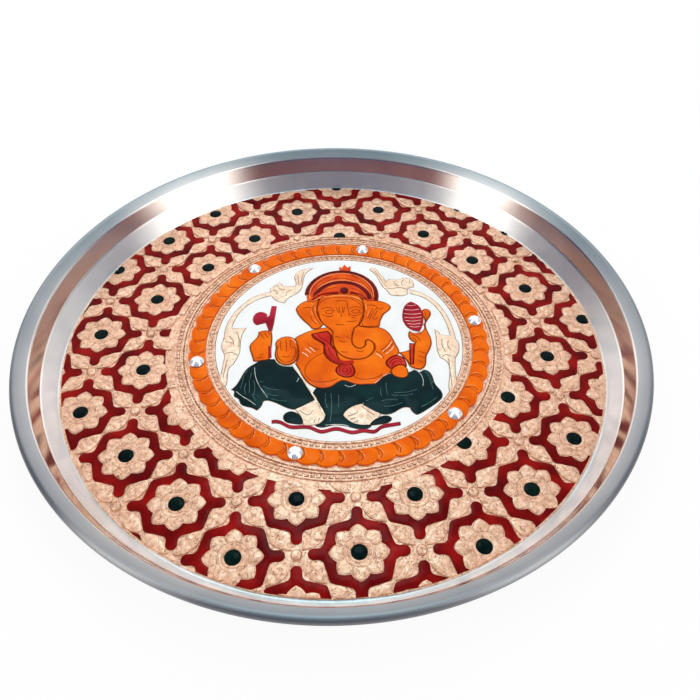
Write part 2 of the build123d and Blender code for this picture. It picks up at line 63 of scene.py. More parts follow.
def turned(name, rings, sides):
    """A turned sheet: a disc with its edge drawn out ring by ring through (radius, height) in mm."""
    radius, height = rings[0]
    start = (0, 0, height * mm)
    bpy.ops.mesh.primitive_circle_add(vertices=sides, radius=radius * mm, fill_type="TRIFAN", location=start)
    piece = bpy.context.object
    piece.name = name
    bpy.ops.object.transform_apply()
    bpy.ops.object.mode_set(mode="EDIT")
    bpy.ops.mesh.select_all(action="DESELECT")
    bpy.ops.mesh.select_non_manifold()
    for next_radius, next_height in rings[1:]:
        rise, spread = (next_height - height) * mm, next_radius / radius
        bpy.ops.mesh.extrude_edges_move(TRANSFORM_OT_translate={"value": (0, 0, rise)})
        bpy.ops.transform.resize(value=(spread, spread, 1), center_override=(0, 0, 0))
        radius, height = next_radius, next_height
    bpy.ops.mesh.select_all(action="SELECT")
    bpy.ops.mesh.normals_make_consistent(inside=False)
    bpy.ops.object.mode_set(mode="OBJECT")
    return piece


def finish(name):
    """A new material with its nodes, its links and its main shader."""
    material = bpy.data.materials.new(name)
    material.use_nodes = True
    nodes, links = material.node_tree.nodes, material.node_tree.links
    return material, nodes, links, nodes["Principled BSDF"]


def tones(nodes, links, factor, *stops):
    """A ramp of colours along a factor, each stop a place and a colour."""
    ramp = nodes.new("ShaderNodeValToRGB")
    ends = ramp.color_ramp.elements[0], ramp.color_ramp.elements[1]
    for end, (place, colour) in zip(ends, (stops[0], stops[-1])):
        end.position = place
        end.color = (*colour, 1)
    for place, colour in stops[1:-1]:
        ramp.color_ramp.elements.new(place).color = (*colour, 1)
    links.new(factor, ramp.inputs["Fac"])
    return ramp.outputs["Color"]


def noise(nodes, links, place, scale, detail):
    """A noise pattern on a piece's own coordinates."""
    pattern = nodes.new("ShaderNodeTexNoise")
    pattern.inputs["Scale"].default_value = scale
    pattern.inputs["Detail"].default_value = detail
    links.new(place.outputs["Object"], pattern.inputs["Vector"])
    return pattern


def dent(nodes, links, height, shader, strength, depth):
    """Fine unevenness of a surface, to a depth in mm."""
    bump = nodes.new("ShaderNodeBump")
    bump.inputs["Strength"].default_value = strength
    bump.inputs["Distance"].default_value = depth * mm
    links.new(height, bump.inputs["Height"])
    links.new(bump.outputs["Normal"], shader.inputs["Normal"])


def steel_finish(name, dark, light, rough, smooth, grooves, brushing, start=0.2, stop=0.3):
    """Stainless steel brushed round the axis, with faint smears, and painted shade darkening it from one
    radius to another.
    """
    material, nodes, links, shader = finish(name)
    place = nodes.new("ShaderNodeTexCoord")
    flat = nodes.new("ShaderNodeMapping")
    flat.inputs["Scale"].default_value = (1, 1, 0)
    links.new(place.outputs["Object"], flat.inputs["Vector"])
    radius = nodes.new("ShaderNodeVectorMath")
    radius.operation = "LENGTH"
    links.new(flat.outputs["Vector"], radius.inputs[0])
    marks = nodes.new("ShaderNodeTexNoise")
    marks.noise_dimensions = "1D"
    marks.inputs["Scale"].default_value = 2600
    marks.inputs["Detail"].default_value = 3
    links.new(radius.outputs["Value"], marks.inputs["W"])
    smears = noise(nodes, links, place, 38, 5)
    # Painted shade: from the start radius to the stop radius the colour darkens to about two thirds.
    outer_shade = nodes.new("ShaderNodeMapRange")
    outer_shade.inputs["From Min"].default_value = start
    outer_shade.inputs["From Max"].default_value = stop
    links.new(radius.outputs["Value"], outer_shade.inputs["Value"])
    shade = nodes.new("ShaderNodeMix")
    shade.data_type = "RGBA"
    shade.blend_type = "MULTIPLY"
    shade.inputs["B"].default_value = (0.66, 0.67, 0.69, 1)
    links.new(outer_shade.outputs["Result"], shade.inputs["Factor"])
    links.new(tones(nodes, links, smears.outputs["Fac"], (0.35, dark), (0.65, light)), shade.inputs["A"])
    links.new(shade.outputs["Result"], shader.inputs["Base Color"])
    spread = nodes.new("ShaderNodeMapRange")
    spread.inputs["To Min"].default_value = smooth
    spread.inputs["To Max"].default_value = rough
    links.new(smears.outputs["Fac"], spread.inputs["Value"])
    links.new(spread.outputs["Result"], shader.inputs["Roughness"])
    dent(nodes, links, marks.outputs["Fac"], shader, grooves, 0.02)
    links.new(flat.outputs["Vector"], shader.inputs["Tangent"])
    shader.inputs["Anisotropic"].default_value = brushing
    shader.inputs["Metallic"].default_value = 1
    return material


gauge = 0.6
foot, step, ledge, wall_top, flange_end = 114.1, 118.0, 118.6, 121.0, 124.48
curl_centre, curl_height, curl_radius = 125.4, 16.4, 1.6
flange_start = wall_top + 0.7
flat_start = 100
plate_path = bent(
    ((flat_start, gauge), (foot, gauge), (step, 7.9), (ledge, 8.4), (wall_top, 15.27), (flange_end, 17.71)),
    (0.9, 0.9, 0.9, 1.8),
)
curl = []
for turn in range(115, -126, -10):
    out, rise = curl_radius * cos(radians(turn)), curl_radius * sin(radians(turn))
    curl.append((curl_centre + out, curl_height + rise))
plate = turned("plate", [tuple(point) for point in plate_path] + curl, 288)
sheet_gauge = plate.modifiers.new("gauge", "SOLIDIFY")
sheet_gauge.thickness = gauge * mm
sheet_gauge.offset = -1
bpy.ops.object.modifier_apply(modifier=sheet_gauge.name)
pressed = steel_finish("pressed_steel", (0.78, 0.79, 0.8), (0.9, 0.91, 0.92), 0.42, 0.35, 0.1, 0.93)
polished = steel_finish("polished_steel", (0.62, 0.57, 0.55), (0.78, 0.72, 0.69), 0.2, 0.13, 0.05, 0.3)
# The satin flange gets painted shade from the flange's start out over the rolled edge; the other two finishes
# start beyond the plate, so they get none.
satin = steel_finish(
    "satin_steel", (0.37, 0.38, 0.4), (0.44, 0.44, 0.45), 0.44, 0.34, 0.2, 0.9, start=0.1217, stop=0.1256
)
for steel in (pressed, polished, satin):
    plate.data.materials.append(steel)
for face in plate.data.polygons:
    radius = hypot(face.center.x, face.center.y)
    face.material_index = int(radius > step * mm) + int(radius > flange_start * mm)
bpy.ops.object.shade_smooth_by_angle(angle=radians(50))
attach(plate, "root")
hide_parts("steel_plate")


# Adhesive film: clear contact glue rolled on the plate's floor, hidden under the foil sheet.
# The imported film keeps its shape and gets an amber, slightly cloudy finish.
def clear_glue(name, thin, thick):
    """Dried contact glue with cloudy patches."""
    material, nodes, links, shader = finish(name)
    place = nodes.new("ShaderNodeTexCoord")
    cloud = noise(nodes, links, place, 220, 4)
    colour = tones(nodes, links, cloud.outputs["Fac"], (0.3, thin), (0.7, thick))
    links.new(colour, shader.inputs["Base Color"])
    dent(nodes, links, cloud.outputs["Fac"], shader, 0.3, 0.1)
    shader.inputs["Roughness"].default_value = 0.3
    return material


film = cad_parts["sheet_adhesive"]
film.data.materials.clear()
film.data.materials.append(clear_glue("contact_glue", (0.75, 0.62, 0.4), (0.85, 0.75, 0.55)))


# Foil sheet: thin copper-coloured aluminium, embossed from below with flowers, leaf crosses, border
# ridges, scrolls and feet, its edge trimmed with shears. Lacquer over it is thin, and its colour has
# small random specks of painted glint and painted shade.
def pick(piece):
    """Select one piece by itself."""
    bpy.ops.object.select_all(action="DESELECT")
    piece.select_set(True)
    bpy.context.view_layer.objects.active = piece


def take(node, name, edge, lift):
    """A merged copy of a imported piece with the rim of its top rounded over."""
    weld, level = 0.002 * mm, 0.01 * mm
    piece = bpy.data.objects.new(name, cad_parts[node].data.copy())
    bpy.context.scene.collection.objects.link(piece)
    piece.data.materials.clear()
    pick(piece)
    bpy.ops.mesh.customdata_custom_splitnormals_clear()
    bpy.ops.object.mode_set(mode="EDIT")
    bpy.ops.mesh.select_mode(type="VERT")
    bpy.ops.mesh.select_all(action="SELECT")
    bpy.ops.mesh.remove_doubles(threshold=weld)
    bpy.ops.mesh.select_mode(type="FACE")
    bpy.ops.mesh.select_all(action="DESELECT")
    bpy.ops.object.mode_set(mode="OBJECT")
    top = max(vertex.co.z for vertex in piece.data.vertices)
    for face in piece.data.polygons:
        face.select = face.normal.z > 0.9 and face.center.z > top - level
    bpy.ops.object.mode_set(mode="EDIT")
    bpy.ops.mesh.inset(thickness=edge * mm, depth=lift * mm, use_even_offset=False)
    bpy.ops.object.mode_set(mode="OBJECT")
    bpy.ops.object.shade_smooth_by_angle(angle=radians(55))
    return piece


def foil_finish(name, shade, tint, glint, rough, score=(0.44, 0.31, 0.25)):
    """Lacquered foil with fine hammer marks, engraved hairlines and small specks of painted glint and painted
    shade.
    """
    material, nodes, links, shader = finish(name)
    place = nodes.new("ShaderNodeTexCoord")
    # Painted glints and painted shade: random specks of lighter and darker colour.
    glint_and_shade_specks = noise(nodes, links, place, 480, 6)
    glint_and_shade_specks.inputs["Roughness"].default_value = 0.65
    hairs = noise(nodes, links, place, 400, 1)
    hairs.inputs["Distortion"].default_value = 1.4
    cut = nodes.new("ShaderNodeMapRange")
    cut.inputs["From Min"].default_value = 0.47
    cut.inputs["From Max"].default_value = 0.53
    cut.inputs["To Max"].default_value = 2
    links.new(hairs.outputs["Fac"], cut.inputs["Value"])
    near = nodes.new("ShaderNodeMath")
    near.operation = "PINGPONG"
    near.inputs[1].default_value = 1
    links.new(cut.outputs["Result"], near.inputs[0])
    colour = tones(nodes, links, glint_and_shade_specks.outputs["Fac"], (0.32, shade), (0.5, tint), (0.7, glint))
    engraved = nodes.new("ShaderNodeMix")
    engraved.data_type = "RGBA"
    engraved.blend_type = "MULTIPLY"
    engraved.inputs["B"].default_value = (*score, 1)
    links.new(near.outputs["Value"], engraved.inputs["Factor"])
    links.new(colour, engraved.inputs["A"])
    links.new(engraved.outputs["Result"], shader.inputs["Base Color"])
    marks = noise(nodes, links, place, 900, 3)
    depth = nodes.new("ShaderNodeMath")
    depth.operation = "SUBTRACT"
    links.new(marks.outputs["Fac"], depth.inputs[0])
    links.new(near.outputs["Value"], depth.inputs[1])
    dent(nodes, links, depth.outputs["Value"], shader, 0.7, 0.12)
    shader.inputs["Metallic"].default_value = 0.55
    shader.inputs["Roughness"].default_value = rough
    shader.inputs["Coat Weight"].default_value = 0.2
    shader.inputs["Coat Roughness"].default_value = 0.2
    return material


copper_foil = foil_finish("copper_foil", (0.62, 0.325, 0.2), (0.85, 0.485, 0.315), (1, 0.71, 0.54), 0.36)
# Dark foil: painted shade in the creases at the foot of pressed shapes, and the colour of scored lines.
line_and_crease_shade = foil_finish("line_and_crease_shade", (0.2, 0.09, 0.04), (0.3, 0.14, 0.07), (0.4, 0.2, 0.1), 0.55)
pale_foil = foil_finish(
    "pale_foil", (0.8, 0.54, 0.38), (0.9, 0.66, 0.49), (0.97, 0.8, 0.66), 0.4, score=(0.8, 0.66, 0.55)
)
sheet_radius = 113.08
sheet_face = 1.2
medallion_x, medallion_y = 2.2, 0.3
field_radius = 52.9
sheet = take("embossed_sheet", "foil_sheet", 0.16, 0.05)
for vertex in sheet.data.vertices:
    radius = hypot(vertex.co.x, vertex.co.y)
    if radius > (sheet_radius - 0.05) * mm:
        turn = Vector((vertex.co.x, vertex.co.y)).angle_signed(Vector((1, 0)))
        trim = 0.3 + 0.3 * cos(2 * turn) + 0.15 * sin(5 * turn + 1)
        trim += 0.1 * sin(13 * turn) + 0.06 * sin(31 * turn + 2)
        vertex.co.xy *= 1 + trim * mm / radius
sheet.data.materials.append(copper_foil)
sheet.data.materials.append(pale_foil)
for face in sheet.data.polygons:
    off_x, off_y = face.center.x - medallion_x * mm, face.center.y - medallion_y * mm
    inside = hypot(off_x, off_y) < field_radius * mm
    face.material_index = int(inside and face.center.z > sheet_face * mm)
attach(sheet, "root")
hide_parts("embossed_sheet")


# Flowers: each petal is pressed up a little more inside its outline, and two rings go round the middle.
# One petal and one pair of rings are modelled and struck again all over the sheet, clear of its edges.
def pillow(name, outline, low, rises):
    """A pressed-up shape: its outline stepped in and up from low, each rise a width and a height."""
    bpy.ops.mesh.primitive_circle_add(vertices=len(outline), radius=mm, fill_type="NGON")
    piece = bpy.context.object
    piece.name = name
    for vertex, (x, y) in zip(piece.data.vertices, outline):
        vertex.co = (x * mm, y * mm, low * mm)
    bpy.ops.object.mode_set(mode="EDIT")
    bpy.ops.mesh.select_mode(type="FACE")
    bpy.ops.mesh.select_all(action="SELECT")
    bpy.ops.mesh.normals_make_consistent(inside=False)
    bpy.ops.object.mode_set(mode="OBJECT")
    if piece.data.polygons[0].normal.z < 0:
        piece.data.flip_normals()
    bpy.ops.object.mode_set(mode="EDIT")
    for width, height in rises:
        bpy.ops.mesh.inset(thickness=width * mm, depth=height * mm, use_even_offset=False)
    bpy.ops.object.mode_set(mode="OBJECT")
    # Painted shade: the first step round the shape takes the dark second material, a dark outline in the
    # crease at its foot.
    for face in piece.data.polygons[1 : 1 + len(outline)]:
        face.material_index = 1
    return piece


def strike(name, model, places, body_slot, *materials):
    """Copies of a model at places, each (x, y, turn in degrees), joined into one piece."""
    bpy.ops.object.select_all(action="DESELECT")
    for material in materials:
        model.data.materials.append(material)
    for x, y, turn in places:
        copy = bpy.data.objects.new(name, model.data.copy())
        copy.data.transform(Matrix.Rotation(radians(turn), 4, "Z"))
        copy.data.transform(Matrix.Translation((x * mm, y * mm, 0)))
        bpy.context.scene.collection.objects.link(copy)
        copy.select_set(True)
        bpy.context.view_layer.objects.active = copy
    bpy.ops.object.join()
    piece = bpy.context.object
    piece.name = name
    bpy.data.objects.remove(model)
    bpy.ops.object.shade_smooth_by_angle(angle=radians(50))
    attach(piece, "root")


def around(radius, turn):
    """A point at a radius and an angle in degrees."""
    return radius * cos(radians(turn)), radius * sin(radians(turn))


def clear(x, y, reach):
    """Whether a shape of that reach lies between the medallion's border and the sheet's edge."""
    in_sheet = hypot(x, y) + reach < pattern_edge
    return in_sheet and hypot(x - medallion_x, y - medallion_y) - reach > border_edge


relief_top = 1.6
pattern_edge, border_edge = 112.5, 71
lattice_x, lattice_y = 5.1, -13
lattice_pitch = 29.8
half_pitch = lattice_pitch / 2**0.5
steps = range(-7, 8)
flower_places = []
for i in steps:
    for j in steps:
        flower_places.append((lattice_x + (i - j) * half_pitch, lattice_y + (i + j) * half_pitch))
cross_places = [(x, y + half_pitch) for x, y in flower_places]

petal_outline = [around(5.5, -21.3), around(5.5, 0), around(5.5, 21.3), around(6.8, 21.3), around(8, 20.7)]
petal_outline += [around(8.65, 15.5), around(9.2, 11), around(9.65, 6.5), around(10, 3), around(10.2, 0)]
petal_outline += [around(10, -3), around(9.65, -6.5), around(9.2, -11), around(8.65, -15.5)]
petal_outline += [around(8, -20.7), around(6.8, -21.3)]
petal = pillow("petal", petal_outline, relief_top, ((0.14, 0.03), (0.3, 0.05), (0.4, 0.02)))
petal_places = []
petal_middle, petal_reach = 8, 2.4
for x, y in flower_places:
    for turn in range(0, 360, 45):
        out_x, out_y = around(petal_middle, turn)
        if clear(x + out_x, y + out_y, petal_reach):
            petal_places.append((x, y, turn))
strike("flower_petals", petal, petal_places, "foil", copper_foil, line_and_crease_shade)

ring_pair = []
for radius, thickness in ((3.6, 0.8), (5, 0.64)):
    bpy.ops.mesh.primitive_torus_add(
        major_radius=radius * mm, minor_radius=thickness / 2 * mm, major_segments=32, minor_segments=8
    )
    ring_pair.append(bpy.context.object)
ring_pair[0].select_set(True)
bpy.ops.object.join()
rings = bpy.context.object
ring_reach, ring_flatness = 5.2, 0.6
flatten = Matrix.Diagonal((1, 1, ring_flatness, 1))
rings.data.transform(Matrix.Translation((0, 0, relief_top * mm)) @ flatten)
ring_places = [(x, y, 0) for x, y in flower_places if clear(x, y, ring_reach)]
strike("flower_rings", rings, ring_places, "foil", copper_foil)


# Leaf crosses: four veined leaves run out from a small disc midway between the flowers.
# Each leaf is struck as two rows of lobes either side of a midrib.
def half_width(x):
    """How far a leaf's edge lies from its midrib, between its stalk and its tip."""
    share = (x - leaf_stalk) / leaf_length
    return leaf_half_width * sin(pi * share**0.85) ** 0.8


leaf_stalk, leaf_length, leaf_half_width = 2.6, 11.7, 2.5
midrib = 0.16
lobes = []
for start, stop in ((3.4, 5.6), (5.9, 8.1), (8.4, 10.6), (10.9, 13.4)):
    for side in (1, -1):
        middle = (start + stop) / 2
        outline = [(start - 0.5, midrib), (stop - 0.5, midrib), (stop, half_width(stop) * 0.9)]
        outline += [(middle + 0.3, half_width(middle) * 1.04), (start, half_width(start) * 0.9)]
        outline = [(px, max(py, midrib) * side) for px, py in outline]
        lobes.append(pillow("lobe", outline, relief_top, ((0.13, 0.03), (0.25, 0.07))))
bpy.ops.object.select_all(action="DESELECT")
for lobe in lobes:
    lobe.select_set(True)
bpy.ops.object.join()
leaf = bpy.context.object
leaf_places = []
leaf_middle, leaf_reach = 8.5, 5.6
for x, y in cross_places:
    for turn in range(45, 360, 90):
        out_x, out_y = around(leaf_middle, turn)
        if clear(x + out_x, y + out_y, leaf_reach):
            leaf_places.append((x, y, turn))
strike("leaves", leaf, leaf_places, "foil", copper_foil, line_and_crease_shade)
boss_radius, boss_reach = 1.9, 2
boss_outline = [around(boss_radius, 22.5 * k) for k in range(16)]
boss = pillow("boss", boss_outline, relief_top, ((0.25, 0.06), (0.3, 0.14), (0.4, 0.05)))
boss_places = [(x, y, 0) for x, y in cross_places if clear(x, y, boss_reach)]
strike("cross_bosses", boss, boss_places, "foil", copper_foil, line_and_crease_shade)


# Border beads: two rows of short bars between the outer ridges and a row of pips inside the garland.
# They are struck with the sheet, and stand a little lower than the ridges.
def bead_row(name, radius, count, long, wide):
    """A row of pressed beads with clipped corners round the medallion."""
    clip_long, clip_wide = long * 0.7, wide * 0.7
    outline = [(-wide, -clip_long), (-clip_wide, -long), (clip_wide, -long), (wide, -clip_long)]
    outline += [(wide, clip_long), (clip_wide, long), (-clip_wide, long), (-wide, clip_long)]
    bead = pillow(name, outline, bead_low, ((0.14, 0.22), (0.16, 0.16)))
    bead.data.transform(Matrix.Translation((radius * mm, 0, 0)))
    bead_places = [(medallion_x, medallion_y, 360 * k / count) for k in range(count)]
    strike(name, bead, bead_places, "foil", copper_foil, line_and_crease_shade)


bead_low = 1.05
bead_row("outer_border_beads", 68.2, 190, 0.85, 0.7)
bead_row("middle_border_beads", 65.95, 260, 0.5, 0.3)
bead_row("inner_border_beads", 54.9, 150, 0.75, 0.6)


# Red enamel: glass-like lacquer poured into the frames between flowers and leaves, level a little below
# the foil, so the metal stands proud of it. Its tone varies in random pools.
def enamel_finish(name, deep, body, thin, gloss=0.12, size=90):
    """Glossy cold enamel with pools, streaks and a wavy skin."""
    material, nodes, links, shader = finish(name)
    place = nodes.new("ShaderNodeTexCoord")
    pools = noise(nodes, links, place, size, 4)
    colour = tones(nodes, links, pools.outputs["Fac"], (0.3, deep), (0.5, body), (0.72, thin))
    links.new(colour, shader.inputs["Base Color"])
    skin = noise(nodes, links, place, 260, 2)
    dent(nodes, links, skin.outputs["Fac"], shader, 0.25, 0.15)
    shader.inputs["Roughness"].default_value = gloss
    shader.inputs["Specular IOR Level"].default_value = 0.04
    return material


def fill(node, name, material, edge=0.18, lift=0.04):
    """An enamel field, filled to a rounded rim."""
    piece = take(node, name, edge, lift)
    piece.data.materials.append(material)
    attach(piece, "root")
    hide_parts(node)
    return piece


def trace(piece, name, material, width):
    """A fine line along the rim of a field's top."""
    pick(piece)
    bpy.ops.object.mode_set(mode="EDIT")
    bpy.ops.mesh.region_to_loop()
    bpy.ops.mesh.duplicate()
    bpy.ops.mesh.separate(type="SELECTED")
    bpy.ops.object.mode_set(mode="OBJECT")
    piece.select_set(False)
    bpy.context.view_layer.objects.active = bpy.context.selected_objects[0]
    bpy.ops.object.convert(target="CURVE")
    line = bpy.context.object
    line.name = name
    line.data.bevel_depth = width / 2 * mm
    line.data.bevel_resolution = 0
    bpy.ops.object.convert(target="MESH")
    line = bpy.context.object
    line.data.materials.clear()
    line.data.materials.append(material)
    bpy.ops.object.shade_smooth_by_angle(angle=radians(60))
    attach(line, "root")


red = enamel_finish("red_enamel", (0.09, 0.001, 0.002), (0.18, 0.003, 0.003), (0.34, 0.008, 0.006), 0.16)
fill("red_lattice_enamel", "red_frames", red, 0.3, 0.05)


# Flower dots: a drop of almost black green enamel in the middle of each flower.
# It stands up as a low dome held by its surface.
black_green = enamel_finish(
    "black_green_enamel", (0.0008, 0.004, 0.006), (0.0014, 0.008, 0.007), (0.003, 0.016, 0.011), 0.1
)
dots = fill("flower_dot_enamel", "flower_dots", black_green, 0.5, 0.15)
pick(dots)
bpy.ops.object.mode_set(mode="EDIT")
bpy.ops.mesh.inset(thickness=0.8 * mm, depth=0.1 * mm, use_even_offset=False)
bpy.ops.mesh.inset(thickness=0.9 * mm, depth=0.04 * mm, use_even_offset=False)
bpy.ops.object.mode_set(mode="OBJECT")
bpy.ops.object.shade_smooth_by_angle(angle=radians(60))


# Garland: a ring of overlapping orange scales round the medallion, filled thick.
# A dark line is scored behind the head of each scale, and a pale painted highlight runs beside it.
def draw(name, material, width, runs, height=1.62):
    """Scored or raised lines: each run of points in mm is one smooth line."""
    path = bpy.data.curves.new(name, "CURVE")
    path.dimensions = "3D"
    path.bevel_depth = width / 2 * mm
    path.bevel_resolution = 1
    path.resolution_u = 5
    path.use_fill_caps = True
    for run in runs:
        line = path.splines.new("BEZIER")
        line.bezier_points.add(len(run) - 1)
        for knot, (x, y) in zip(line.bezier_points, run):
            knot.co = (x * mm, y * mm, height * mm)
            knot.handle_left_type = knot.handle_right_type = "AUTO"
    piece = bpy.data.objects.new(name, path)
    bpy.context.scene.collection.objects.link(piece)
    pick(piece)
    bpy.ops.object.convert(target="MESH")
    piece = bpy.context.object
    piece.data.materials.clear()
    piece.data.materials.append(material)
    bpy.ops.object.shade_smooth_by_angle(angle=radians(60))
    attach(piece, "root")


def scale_marks(bows):
    """The same curved mark on every scale, each bow a radius and a turn past the scale's start."""
    marks = []
    for k in range(scale_count):
        start = 360 / scale_count * k + scale_start
        run = [around(radius, start + bow) for radius, bow in bows]
        marks.append([(x + medallion_x, y + medallion_y) for x, y in run])
    return marks


orange = enamel_finish("orange_enamel", (0.7, 0.09, 0.003), (0.85, 0.14, 0.004), (0.95, 0.2, 0.007))
orange_line = enamel_finish(
    "orange_line", (0.18, 0.02, 0.002), (0.28, 0.035, 0.003), (0.4, 0.06, 0.005), 0.25, 400
)
# Pale orange for painted highlight lines.
gleam = enamel_finish("orange_gleam", (0.9, 0.3, 0.08), (0.95, 0.42, 0.16), (1, 0.55, 0.28), 0.2, 300)
fill("garland_enamel", "garland", orange, 0.35, 0.12)
scale_count, scale_start = 52, -3.2
score_bows = ((57.6, 1.0), (59.2, 2.1), (61, 2.3), (62.4, 1.5))
draw("garland_lines", orange_line, 0.3, scale_marks(score_bows), 2.06)
# Painted highlights: a pale line just beside each scale's scored line.
gleam_bows = ((57.9, 1.8), (59.3, 2.7), (60.6, 2.9))
draw("garland_gleams", gleam, 0.26, scale_marks(gleam_bows), 2.05)


# White field: opaque white enamel filling the medallion round the figure.
# A thin brown line shows where it meets the raised metal.
white = enamel_finish("white_enamel", (0.86, 0.86, 0.85), (0.9, 0.9, 0.89), (0.93, 0.93, 0.92), 0.2)
white_field = fill("white_field_enamel", "white_field", white, 0.12, 0.02)
trace(white_field, "white_field_line", line_and_crease_shade, 0.3)


# Turban: orange cloth pleated between a maroon rim, a maroon band and a jewel, with a small finial.
# Each colour is its own enamel field, the pleats are embossed lines showing through, a thick fold of
# cloth lies over the brow, and the jewel is a raised drop.
maroon = enamel_finish("maroon_enamel", (0.06, 0.004, 0.008), (0.11, 0.006, 0.013), (0.18, 0.01, 0.02))
for part in ("rim", "band", "jewel"):
    field = fill(f"turban_{part}_enamel", f"turban_{part}", maroon)
    trace(field, f"turban_{part}_line", orange_line, 0.28)
cloth = enamel_finish(
    "cloth_enamel", (0.62, 0.045, 0.012), (0.76, 0.08, 0.01), (0.9, 0.15, 0.01), size=140
)
for part in ("cloth", "finial"):
    fill(f"turban_{part}_enamel", f"turban_{part}", cloth)
pleats = (
    ((-10.4, 29), (-8.2, 34.2), (-4.4, 38.6), (0.4, 41.4)),
    ((-9, 27.4), (-7.2, 32.2), (-3.8, 36.4), (0.6, 39.4), (6, 39.6), (10.6, 37.6)),
    ((9.4, 41.8), (13.6, 37.8), (16.6, 32.6), (18, 27)),
    ((8.6, 43), (13.8, 39.2), (17.4, 33.8), (18.9, 28)),
    ((-7.6, 26), (-5.4, 29.6), (-1.8, 32.4), (2.2, 33.6)),
    ((-6.6, 25.2), (-3.4, 27.8), (0, 29), (3.4, 29.2)),
    ((7.8, 29.4), (11, 28.2), (13.8, 25.4)),
    ((8.4, 33), (12, 31), (14.8, 28)),
)
draw("turban_pleats", orange_line, 0.4, pleats)
# Painted highlights: pale lines along the hem and along two arcs by the band and the rim.
turban_x = 4.4
gleams = [((-8.6, 24.8), (-5.4, 26.9), (-0.8, 27.7), (turban_x, 27.9), (9.2, 27), (12.8, 25))]
for middle, radius, turns in ((24.3, 14.1, range(12, 166, 14)), (28.6, 14.6, range(-8, 189, 14))):
    arc = [around(radius, turn) for turn in turns]
    gleams.insert(0, [(turban_x + x, middle + y) for x, y in arc])
draw("turban_gleams", gleam, 0.4, gleams)
brow_fold = ((-8, 27), (-5, 29.7), (-1, 30.7), (3, 31), (7, 30.9), (10.4, 29.9), (13, 28), (14.6, 26))
draw("turban_brow", cloth, 2.2, (brow_fold,), 1.05)
# Painted shade: wide dark red runs on the cloth's lower sides, along the hem.
cloth_shade_runs = (
    ((-9.1, 25.4), (-6.8, 27.8), (-4.2, 29.1), (-0.8, 29.5), (3, 29.6)),
    ((8.6, 29.8), (12, 28.5), (14, 27), (15.4, 25.2)),
)
cloth_shade = enamel_finish(
    "cloth_shade", (0.2, 0.006, 0.012), (0.32, 0.012, 0.016), (0.46, 0.03, 0.02), 0.2, 300
)
draw("turban_painted_shade", cloth_shade, 0.8, cloth_shade_runs, 1.85)
jewel_radius = 1.9
jewel_place = (5.7 * mm, 31.1 * mm, relief_top * mm)
bpy.ops.mesh.primitive_circle_add(
    vertices=24, radius=jewel_radius * mm, fill_type="NGON", location=jewel_place
)
jewel = bpy.context.object
jewel.name = "turban_jewel_dome"
bpy.ops.object.transform_apply(location=True)
bpy.ops.object.mode_set(mode="EDIT")
bpy.ops.mesh.extrude_region_move(TRANSFORM_OT_translate={"value": (0, 0, 0.5 * mm)})
bpy.ops.mesh.inset(thickness=0.5 * mm, depth=0.22 * mm)
bpy.ops.mesh.inset(thickness=0.6 * mm, depth=0.1 * mm)
bpy.ops.object.mode_set(mode="OBJECT")
bpy.ops.object.shade_smooth_by_angle(angle=radians(60))
jewel.data.materials.append(maroon)
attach(jewel, "root")


# Head: a round face that runs into a trunk curled to one side, with a large ear on each side.
# Eyes, brow marks and folds are embossed lines under the enamel, and pale painted highlights lie along the
# ears' folds.
for part in ("face_and_trunk", "left_ear", "right_ear"):
    field = fill(f"{part}_enamel", part, orange)
    trace(field, f"{part}_line", orange_line, 0.36)
face_lines = (
    (
        (-6.6, 21.6), (-5, 24.2), (-2, 26.2), (3, 26.7), (8, 25.8),
        (11.5, 23.2), (13.3, 20), (13.5, 16.4), (12.8, 13.4),
    ),
    ((8.6, 26.6), (12.2, 24.2), (14.1, 20.6), (14.3, 16.6)),
    ((-4.8, 19.3), (-3.2, 20.3), (-1.4, 20.3), (0.2, 18.9), (0.8, 17.3)),
    ((-4.7, 16), (-3, 14.9), (-1.2, 14.6), (0.3, 15.4)),
    ((-3.4, 17.6), (-2.2, 18.6), (-0.8, 18.4), (0, 17.4), (-1, 16.4), (-2.4, 16.5), (-3.4, 17.6)),
    ((7.6, 19.2), (9, 20.1), (11, 20.2), (12.8, 19.2)),
    ((7.7, 15.6), (9.4, 14.8), (11.4, 15.2), (13, 16.6)),
    ((8.3, 17.4), (9.6, 18.4), (11, 18.3), (12, 17.3), (10.8, 16.3), (9.4, 16.3), (8.3, 17.4)),
    ((1.5, 20.3), (2.1, 18.4), (2.7, 16.7)),
    ((2.9, 20.5), (3.7, 17), (4.4, 20.3)),
    ((5.4, 20.2), (5, 18.4), (4.7, 16.7)),
    ((3.6, 16.2), (3.8, 14.6)),
    ((1.8, 24.3), (4.2, 24.6), (6.6, 24.3)),
    ((6.5, 24), (6.9, 19), (7.3, 14.6)),
    ((1.2, 9.6), (3, 9.3), (4.7, 9.2)),
    ((6, 11.3), (8, 11), (10.4, 11.4)),
    ((8.2, 14), (9.2, 13.2), (10, 13.8)),
    ((12.5, 13.6), (11.7, 11), (10.7, 8.6)),
    ((-6.4, 18), (-5.7, 13.4), (-4, 9.8), (-1.4, 7)),
    ((0.6, 2.4), (1.8, 1.9), (2.4, 1.2)),
    ((5.2, 2.2), (6, 1.2), (6.8, 0.7)),
    ((2.2, -0.4), (3.6, -1), (4.8, -1)),
    ((2.6, -6.6), (4, -7), (5.6, -7)),
    ((9.2, -6.4), (10.8, -6.9), (12.2, -6.6)),
)
